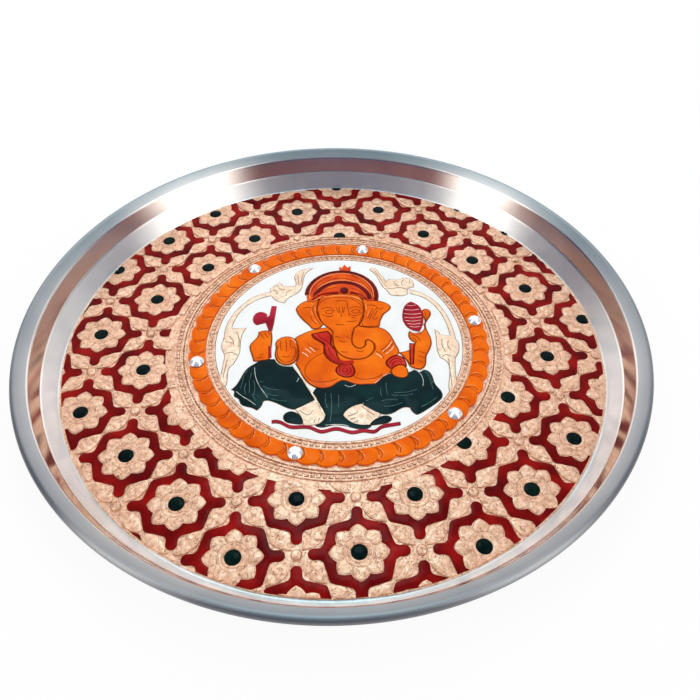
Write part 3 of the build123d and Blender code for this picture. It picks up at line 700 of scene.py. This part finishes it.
ear_lines = (
    ((-8.5, 22.6), (-8.9, 19.5), (-8.3, 16), (-7, 12.6), (-5.6, 9.8)),
    ((-10, 15.4), (-8.8, 12), (-7, 10)),
    ((-13.4, 20.4), (-11, 20.8), (-9.5, 20.2)),
    ((15.4, 20.6), (17, 21.3), (19.4, 20.5)),
    ((19.6, 19.7), (21.2, 18.3), (22.6, 19)),
    ((20, 19.4), (18, 16.4), (16.6, 13.4), (16, 11.4)),
    ((18, 18.9), (16.4, 15.6), (15.3, 12.6)),
    ((20, 17.4), (18.5, 14.6), (17.4, 12.6)),
    ((12.8, 9.8), (12.9, 8.3), (14.6, 7.7), (17.8, 7.9)),
    ((17.4, 12.3), (18.6, 12.1), (19.8, 13)),
)
draw("face_lines", orange_line, 0.4, face_lines)
draw("ear_lines", orange_line, 0.4, ear_lines)
# Painted highlights: short pale lines on the ears' folds.
ear_gleams = (
    ((-9.6, 23.4), (-8.9, 22.7), (-8.4, 21.8)),
    ((-8, 20.6), (-7.7, 19.4), (-7.7, 18.2)),
    ((-9.4, 18.4), (-9.3, 17), (-8.9, 15.6)),
    ((-8.2, 12.6), (-7.5, 11.5), (-6.8, 10.8)),
    ((14.9, 21.8), (15.1, 20), (14.9, 18.2)),
    ((16.6, 17.6), (15.8, 15.8), (15.2, 14.2)),
    ((12.6, 24.8), (13.8, 23.4), (14.5, 21.8)),
)
draw("ear_gleams", gleam, 0.34, ear_gleams)


# Body: torso with both upper arms, and hands that bless, hold an axe, a lotus and a bowl of sweets.
# Belly folds, armlets and fingers are embossed lines, and the armlets are left bright.
for part in ("torso", "blessing_hand", "axe_hand", "lotus_arm", "bowl_hand"):
    field = fill(f"{part}_enamel", part, orange)
    trace(field, f"{part}_line", orange_line, 0.36)
body_lines = (
    (
        (-4.4, -6.8), (-8, -9), (-11, -12), (-12.6, -16), (-11.8, -20),
        (-9.3, -22.3), (-6, -23), (-2, -22.5), (0.6, -21.4),
    ),
    ((7.6, -20.8), (9.4, -21.9), (13, -22.3), (17, -21.3), (19.4, -19.8)),
    ((17, -2), (17.6, -4.4), (17.2, -6.6)),
    ((17.4, -7), (19.4, -8.8), (20.4, -11.4)),
    ((-11.4, -1.4), (-10, -3.4), (-8.2, -4.6), (-6.4, -4.9)),
    ((24.2, -0.8), (22.6, -3.6), (19.8, -6.6)),
    ((25.2, -2.6), (23, -5.8), (20.6, -8)),
    ((-24, -2), (-24.3, -6), (-23.2, -9.8), (-20.4, -11.6), (-17.8, -10.6), (-16.2, -7.6), (-15.9, -4)),
    ((-18.2, -4), (-17.3, -3), (-16.6, -4.6), (-16.8, -7.4), (-17.8, -9.4)),
    ((-22.8, 0.6), (-22.9, -3), (-22.4, -5)),
    ((-20.7, 1.6), (-20.4, -2), (-20.3, -5.6)),
    ((-18.7, 0.8), (-18.6, -3)),
    ((-22, -8), (-20.4, -8.8), (-19, -8.2)),
    ((-31.7, 5.4), (-30.9, 3.8), (-29.8, 2.2)),
    ((-30, 6), (-29.2, 4.2), (-28.3, 2.8)),
    ((-28.4, 6.2), (-27.7, 4.4)),
    ((-31.4, -7), (-29.8, -6.6)),
    ((-32.4, -8.7), (-30.2, -8.3)),
    ((33.4, 1.8), (35, 1.2), (36.4, -0.4), (37, -2)),
    ((33.6, 0), (34.8, -1), (35.4, -2.8)),
    ((36.4, 3.2), (37.8, 1.8)),
    ((35.6, -8), (38.2, -9.2)),
    ((35, -10.4), (37.6, -11.6)),
    ((34.6, -13), (36.8, -14.2)),
    ((41, 15.8), (41.2, 12.4), (40.4, 9)),
)
draw("body_lines", orange_line, 0.4, body_lines)
bright_lines = (
    ((-12.4, -4.4), (-11.2, -5.4), (-10, -7)),
    ((-13.8, -6.4), (-12.4, -7.4), (-11.2, -9)),
    ((-10.4, -3.6), (-9.4, -4.8), (-8.4, -6.2)),
    ((-18.2, 1.8), (-17, 0.4), (-16.2, -1)),
    ((24.6, -1.8), (22.8, -4.8), (20.2, -7.4)),
    ((25.4, -4.4), (23.8, -6.8), (21.6, -8.8)),
    ((17.6, -8.6), (19, -9.8), (19.8, -11)),
)
bright_foil = foil_finish("bright_foil", (0.85, 0.6, 0.4), (0.95, 0.72, 0.52), (1.0, 0.85, 0.7), 0.3)
draw("armlets", bright_foil, 0.45, bright_lines)


# Held and worn things: a scarlet necklace and pendant, a bowl, a lotus stem, and a crimson axe and bud.
# Two more strands of the necklace cross the chest. Dark lines mark the turns of the necklace and the
# rim of the bowl, and the rings of the bud are left bright.
scarlet = enamel_finish("scarlet_enamel", (0.42, 0.01, 0.01), (0.58, 0.025, 0.015), (0.72, 0.06, 0.03))
crimson = enamel_finish("crimson_enamel", (0.24, 0.006, 0.02), (0.36, 0.01, 0.03), (0.5, 0.02, 0.05))
red_line = enamel_finish(
    "red_line", (0.05, 0.002, 0.003), (0.09, 0.003, 0.005), (0.14, 0.006, 0.008), 0.25, 400
)
for part in ("necklace", "pendant", "sweet_bowl", "lotus_stem"):
    field = fill(f"{part}_enamel", part, scarlet)
    trace(field, f"{part}_line", red_line, 0.32)
for part in ("axe", "lotus_bud", "seat_line"):
    fill(f"{part}_enamel", part, crimson)
worn_lines = (
    ((-9, 3.8), (-7.4, 1.2), (-4.8, -1), (-3.4, -3.2)),
    ((-7, 4), (-5.4, 1.4), (-3, -0.6), (-1.6, -2.6)),
    ((-4, -4.4), (-3.3, -8), (-1, -11.2), (1.8, -13.2)),
    ((-2.6, -4.2), (-1.9, -7.4), (0.4, -10.2), (2.6, -12.2)),
    (
        (6.4, -17), (5.7, -15.3), (4, -14.6), (2.3, -15.3), (1.6, -17),
        (2.3, -18.7), (4, -19.4), (5.7, -18.7), (6.4, -17),
    ),
    ((5.2, -17), (4, -15.8), (2.8, -17), (4, -18.2), (5.2, -17)),
    ((22.6, -14.4), (23.4, -12.6), (25, -11.6), (27, -11.8), (28.2, -13.4)),
    ((23.4, -15.6), (24.6, -13.6), (26.4, -13), (27.8, -14.2)),
)
bud_lines = (
    ((33.4, 20.4), (35, 19.9), (37.6, 20.3)),
    ((32.2, 17.6), (35, 17), (38.6, 17.5)),
    ((31.7, 15), (35, 14.4), (39.2, 14.8)),
    ((31.6, 12.7), (35, 12.1), (39.2, 12.6)),
    ((31.7, 10.7), (35, 10.1), (38.8, 10.6)),
    ((32.4, 8.8), (35, 8.2), (38.4, 8.6)),
    ((33.4, 7), (35.2, 6.4), (37.6, 6.7)),
)
strands = (
    ((0.2, -10.8), (2.2, -12), (4.8, -12.5), (7.6, -12.1)),
    ((1.2, -12.4), (3.2, -13.2), (5.4, -13.5), (7.8, -13.1)),
)
draw("necklace_strands", scarlet, 0.9, strands, 1.75)
draw("necklace_lines", red_line, 0.34, worn_lines)
draw("bud_lines", bright_foil, 0.32, bud_lines)


# Drapes: dark green cloth over both legs with pleats between, and a slipper by each foot.
# The folds are embossed lines that stay pale where the enamel is wiped off them.
dark_green = enamel_finish(
    "dark_green_enamel", (0.003, 0.012, 0.016), (0.004, 0.018, 0.02), (0.006, 0.03, 0.03)
)
for part in ("left_drape", "right_drape", "centre_drape", "left_slipper", "right_slipper"):
    fill(f"{part}_enamel", part, dark_green)
fold_lines = (
    ((-36, -15), (-37.5, -18), (-38, -21.5), (-38.6, -25)),
    ((-34.5, -17), (-35.2, -21), (-35, -24.5), (-35, -27.5)),
    ((-33.4, -21), (-32.8, -25), (-33.2, -28.6)),
    ((-36.6, -22.4), (-36.9, -25.4), (-36.4, -28)),
    ((-34, -28), (-33, -29.8), (-32.2, -31.5)),
    ((-31, -21.5), (-30.2, -21.9), (-29.4, -21.9)),
    ((-29.6, -24), (-27, -25.6), (-23, -26.4)),
    ((-28, -28), (-25.8, -28.9), (-23.4, -29.2)),
    ((-26.4, -30.6), (-23, -31.8), (-20, -32.2)),
    ((20.3, -24.4), (20.1, -27.4), (20.5, -31)),
    ((18, -27), (17.6, -29.4), (18, -31.4)),
    ((36.4, -18.5), (38, -22), (38.6, -26), (39, -29)),
    ((37.6, -19), (38.8, -22.5), (39.3, -25.6)),
    ((23, -29.8), (28, -29.8), (32.5, -28.6)),
    ((22, -31), (27, -31.4), (30.5, -30.8)),
    ((17.6, -34), (20, -33.2), (24, -33.6)),
    ((18.4, -36.6), (22, -36.4), (26, -35)),
    ((40, -33), (36.5, -35.5), (33, -37.5)),
    ((14.6, -31.8), (13, -32.8), (11.4, -33.6)),
    ((-4.4, -29), (-4.6, -33), (-4, -36.4)),
    ((-2.3, -29), (-2.2, -35), (-2.6, -40), (-3, -43)),
    ((0.8, -30), (0.5, -36)),
)
hem_lines = (
    ((-33.4, -14), (-33.1, -17), (-32.5, -20), (-31, -24), (-29, -27.5), (-27.6, -30)),
    ((-40.2, -26.4), (-38, -28.6), (-35, -31), (-32.2, -33.6)),
    ((-16, -22.4), (-15.5, -21.5), (-15.2, -20.4)),
    ((31, -17.3), (33.5, -18.6), (35, -21), (35.5, -24), (35, -27)),
    ((3.4, -25), (5.4, -26), (7.9, -25.1)),
    ((-24.6, -10.8), (-23, -12.6), (-20.2, -13.6), (-17.4, -13.2)),
    ((15.6, -24.6), (18, -22.4), (20.6, -20.2), (22.6, -19.6)),
    ((-5, -44.7), (-1, -44.5), (2.4, -44.9), (4, -45.6)),
)
drape_edge = (
    (-17, -15), (-15, -18.4), (-12.4, -23.6), (-10.2, -28.2), (-8.2, -32.6), (-6.4, -36.4), (-5, -40)
)
pale_fold = foil_finish("pale_fold", (0.03, 0.08, 0.07), (0.06, 0.14, 0.12), (0.12, 0.22, 0.19), 0.4)
draw("drape_folds", pale_fold, 0.3, fold_lines)
pale_hem = foil_finish("pale_hem", (0.6, 0.64, 0.54), (0.74, 0.78, 0.68), (0.9, 0.92, 0.84), 0.4)
draw("drape_hems", pale_hem, 0.3, hem_lines)
draw("drape_edges", bright_foil, 0.8, (drape_edge,), 1.5)


# Feet and scrolls: shapes of the foil left bare in the white field.
# Their veins, toes and anklets are scored lines.
bare_lines = (
    ((-15, -37), (-13, -38.6), (-11.6, -39.3), (-9.6, -37.4)),
    ((-9.4, -43.4), (-8.8, -41.6)),
    ((-7.6, -42.6), (-7, -41)),
    ((4.2, -40.6), (6.4, -39.8), (8, -38.6)),
    ((4.6, -42.2), (7, -41.6)),
    ((6, -43.7), (8, -43)),
    ((9.8, -36), (12, -38.6), (14.4, -40.6)),
    ((-45, 4.6), (-43.4, 2), (-43, 0)),
    ((-46.6, 1.4), (-44.4, 0.8), (-42.6, -0.6)),
    ((-46, -5.4), (-43.6, -5), (-41, -6.6)),
    ((-42, 7), (-40.8, 3), (-40.6, -2)),
    ((-45, -9), (-45.6, -14), (-46, -19)),
    ((-27, 33), (-25.4, 32.4), (-25, 30.4)),
    ((-25, 36), (-23.6, 33.6), (-21.6, 33)),
    ((-21, 29), (-20.4, 31.4), (-18.2, 33)),
    ((-15.6, 43.6), (-15.4, 40), (-15, 36)),
    ((-12.6, 45.2), (-13.6, 41.6), (-14, 38)),
    ((20.6, 44.4), (22.4, 40.6), (23.8, 36.4), (25.6, 33)),
    ((25.6, 32), (28, 31.8), (31, 32.2), (34, 31.4)),
    ((29, 36.6), (29.6, 34.6), (31.4, 33.4)),
    ((33.6, 37.4), (32.6, 35.4), (32.8, 33)),
    ((36.6, 37), (36.2, 34.6)),
    ((45, -11.4), (46.8, -10.2), (48.8, -11.2)),
    ((46.4, -1), (46, -5), (46.8, -8.4)),
    ((49, -2), (48.4, -5.4), (49.4, -8)),
    ((47.6, -12.6), (47.2, -20), (46.8, -28)),
)
draw("bare_foil_lines", line_and_crease_shade, 0.28, bare_lines, relief_top)


# Stones: six flat-backed clear stones with a faceted crown, each stuck on the garland with a dot of glue.
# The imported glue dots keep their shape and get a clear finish.
def cut_stone(name, x, y):
    """One stone: a straight girdle and a crown cut in two rows of facets up to the table."""
    back = (0, 0, stone_back * mm)
    bpy.ops.mesh.primitive_circle_add(vertices=16, radius=stone_radius * mm, fill_type="NGON", location=back)
    piece = bpy.context.object
    piece.name = name
    bpy.ops.object.transform_apply()
    bpy.ops.object.mode_set(mode="EDIT")
    bpy.ops.mesh.select_mode(type="FACE")
    bpy.ops.mesh.select_all(action="SELECT")
    for rise, share, twist in ((0.5, 1, 0), (0.75, 0.78, 11.25), (0.5, 0.68, 11.25)):
        bpy.ops.mesh.extrude_region_move(TRANSFORM_OT_translate={"value": (0, 0, rise * mm)})
        bpy.ops.transform.resize(value=(share, share, 1), center_override=(0, 0, 0))
        bpy.ops.transform.rotate(value=radians(twist), orient_axis="Z", center_override=(0, 0, 0))
    bpy.ops.mesh.select_all(action="SELECT")
    bpy.ops.mesh.quads_convert_to_tris(quad_method="FIXED")
    bpy.ops.mesh.normals_make_consistent(inside=False)
    bpy.ops.object.mode_set(mode="OBJECT")
    piece.data.transform(Matrix.Translation((x * mm, y * mm, 0)))
    return piece


def crystal_finish(name):
    """Clear lead glass over a silvered back, with random patches of painted bluish reflection."""
    material, nodes, links, shader = finish(name)
    place = nodes.new("ShaderNodeTexCoord")
    # Painted reflection: random patches tinted blue.
    blue_reflection = noise(nodes, links, place, 700, 4)
    colour = tones(nodes, links, blue_reflection.outputs["Fac"], (0.4, (0.78, 0.85, 1.0)), (0.6, (1, 1, 1)))
    links.new(colour, shader.inputs["Base Color"])
    shader.inputs["Roughness"].default_value = 0.04
    shader.inputs["IOR"].default_value = 1.6
    shader.inputs["Metallic"].default_value = 0.55
    shader.inputs["Coat Weight"].default_value = 1
    return material


crystal = crystal_finish("crystal")
stone_radius, stone_back = 2.95, 2.07
garland_middle = 60.5
for number, turn in enumerate((8, 77, 129, 190, 252, 316), 1):
    x, y = around(garland_middle, turn)
    stone = cut_stone(f"cut_stone_{number}", x + medallion_x, y + medallion_y)
    stone.data.materials.append(crystal)
    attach(stone, "root")
    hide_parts(f"stone_{number}")
stone_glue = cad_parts["stone_glue"]
stone_glue.data.materials.clear()
stone_glue.data.materials.append(clear_glue("stone_glue_clear", (0.7, 0.7, 0.68), (0.85, 0.85, 0.84)))


# Studio: a white floor that keeps a faint shadow, a bright far side and a dim room behind the camera, with a
# tall soft strip of light each side of it, a warm panel beyond the plate and a cool window above. Seen
# straight, the room is plain white.
bpy.ops.mesh.primitive_plane_add(size=9, location=(0, 0, -0.0002))
floor = bpy.context.object
floor.name = "studio_floor"
material, nodes, links, shader = finish("studio_floor")
shader.inputs["Base Color"].default_value = (0.9, 0.9, 0.9, 1)
shader.inputs["Roughness"].default_value = 0.9
glow = nodes.new("ShaderNodeEmission")
rays = nodes.new("ShaderNodeLightPath")
seen = nodes.new("ShaderNodeMath")
seen.operation = "MAXIMUM"
links.new(rays.outputs["Is Camera Ray"], seen.inputs[0])
mirrored = nodes.new("ShaderNodeMath")
mirrored.operation = "MAXIMUM"
links.new(rays.outputs["Is Glossy Ray"], mirrored.inputs[0])
links.new(rays.outputs["Is Transmission Ray"], mirrored.inputs[1])
links.new(mirrored.outputs["Value"], seen.inputs[1])
share = nodes.new("ShaderNodeMath")
share.operation = "MULTIPLY"
share.inputs[1].default_value = 0.92
links.new(seen.outputs["Value"], share.inputs[0])
both = nodes.new("ShaderNodeMixShader")
links.new(share.outputs["Value"], both.inputs["Fac"])
links.new(shader.outputs["BSDF"], both.inputs[1])
links.new(glow.outputs["Emission"], both.inputs[2])
links.new(both.outputs["Shader"], nodes["Material Output"].inputs["Surface"])
floor.data.materials.append(material)

world = bpy.data.worlds.new("studio")
bpy.context.scene.world = world
world.use_nodes = True
nodes, links = world.node_tree.nodes, world.node_tree.links
place = nodes.new("ShaderNodeTexCoord")
apart = nodes.new("ShaderNodeSeparateXYZ")
links.new(place.outputs["Generated"], apart.inputs["Vector"])


def along(line):
    """How far a direction of view goes along a line."""
    reach = nodes.new("ShaderNodeVectorMath")
    reach.operation = "DOT_PRODUCT"
    reach.inputs[1].default_value = line
    links.new(place.outputs["Generated"], reach.inputs[0])
    return reach.outputs["Value"]


front = tones(
    nodes, links, along((0.3, 0, 0.95)),
    (0, (1, 1, 1)),
    (0.2, (1, 1, 1)),
    (0.5, (0.8, 0.81, 0.83)),
    (0.75, (0.58, 0.61, 0.65)),
    (1, (0.3, 0.38, 0.46)),
)
behind = tones(
    nodes, links, apart.outputs["Z"],
    (0, (0.4, 0.12, 0.09)),
    (0.12, (0.36, 0.12, 0.09)),
    (0.18, (0.1, 0.12, 0.2)),
    (0.5, (0.08, 0.11, 0.19)),
    (1, (0.36, 0.37, 0.42)),
)
turn_back = nodes.new("ShaderNodeMapRange")
turn_back.inputs["From Min"].default_value = 0.6
turn_back.inputs["From Max"].default_value = 0.22
links.new(along((0.25, 0.97, 0)), turn_back.inputs["Value"])
room = nodes.new("ShaderNodeMix")
room.data_type = "RGBA"
links.new(turn_back.outputs["Result"], room.inputs["Factor"])
links.new(front, room.inputs["A"])
links.new(behind, room.inputs["B"])


def light_strip(below, across, side, inner, outer, colour):
    """A tall softly edged strip of light laid over a sky, near the plane across it."""
    apart_by = nodes.new("ShaderNodeMath")
    apart_by.operation = "ABSOLUTE"
    links.new(along(across), apart_by.inputs[0])
    edge = nodes.new("ShaderNodeMapRange")
    edge.interpolation_type = "SMOOTHSTEP"
    edge.inputs["From Min"].default_value = outer
    edge.inputs["From Max"].default_value = inner
    links.new(apart_by.outputs["Value"], edge.inputs["Value"])
    end = nodes.new("ShaderNodeMapRange")
    end.inputs["From Min"].default_value = side * strip_start
    end.inputs["From Max"].default_value = side * strip_full
    links.new(apart.outputs["X"], end.inputs["Value"])
    amount = nodes.new("ShaderNodeMath")
    amount.operation = "MULTIPLY"
    links.new(edge.outputs["Result"], amount.inputs[0])
    links.new(end.outputs["Result"], amount.inputs[1])
    laid = nodes.new("ShaderNodeMix")
    laid.data_type = "RGBA"
    laid.inputs["B"].default_value = (*colour, 1)
    links.new(amount.outputs["Value"], laid.inputs["Factor"])
    links.new(below, laid.inputs["A"])
    return laid.outputs["Result"]


strip_light = (2.65, 2.56, 2.42)
strip_start, strip_full = 0.15, 0.4
lit = light_strip(room.outputs["Result"], (-0.48, 0.84, -0.25), -1, 0.06, 0.34, strip_light)
lit = light_strip(lit, (-0.593, -0.783, 0.186), 1, 0.1, 0.44, strip_light)
rays = nodes.new("ShaderNodeLightPath")
backdrop = nodes.new("ShaderNodeMix")
backdrop.data_type = "RGBA"
backdrop.inputs["B"].default_value = (1, 1, 1, 1)
links.new(rays.outputs["Is Camera Ray"], backdrop.inputs["Factor"])
links.new(lit, backdrop.inputs["A"])
links.new(backdrop.outputs["Result"], nodes["Background"].inputs["Color"])


def softbox(name, foot, head, width, power, colour):
    """A softbox that stands from its foot to its head and faces the plate."""
    foot, head = Vector(foot), Vector(head)
    middle, up = (foot + head) / 2, (head - foot).normalized()
    back = (middle - up * middle.dot(up)).normalized()
    bpy.ops.object.light_add(type="AREA", location=middle)
    lamp = bpy.context.object
    lamp.name = name
    lamp.data.shape = "RECTANGLE"
    lamp.data.size, lamp.data.size_y = width, (head - foot).length
    lamp.data.energy = power
    lamp.data.color = colour
    lamp.rotation_euler = Matrix((up.cross(back), up, back)).transposed().to_euler()


softbox("far_panel", (0, 1.7, 0.4), (0, 0.75, 1.3), 2.2, 5.6, (1, 0.98, 0.96))
softbox("window", (0, 0.84, 1.24), (0, 0.54, 1.42), 0.4, 2.4, (0.5, 0.93, 1))


# Camera: a hand-held view from the front and above, a little left of the middle.
# It looks down on the plate at about forty-eight degrees, from 30 cm away.
bpy.ops.object.camera_add()
camera = bpy.context.object
camera.data.lens = 35.41
camera.data.sensor_width = 36
camera.data.clip_start = 0.01
across, up, back = (0.99873, -0.04986, 0.00593), (0.03281, 0.73726, 0.67481), (-0.03802, -0.67376, 0.73797)
aim = Matrix((across, up, back)).transposed().to_4x4()
camera.matrix_world = Matrix.Translation((-0.004578, -0.202464, 0.21697)) @ aim
bpy.context.scene.camera = camera
bpy.context.scene.view_settings.view_transform = "Standard"
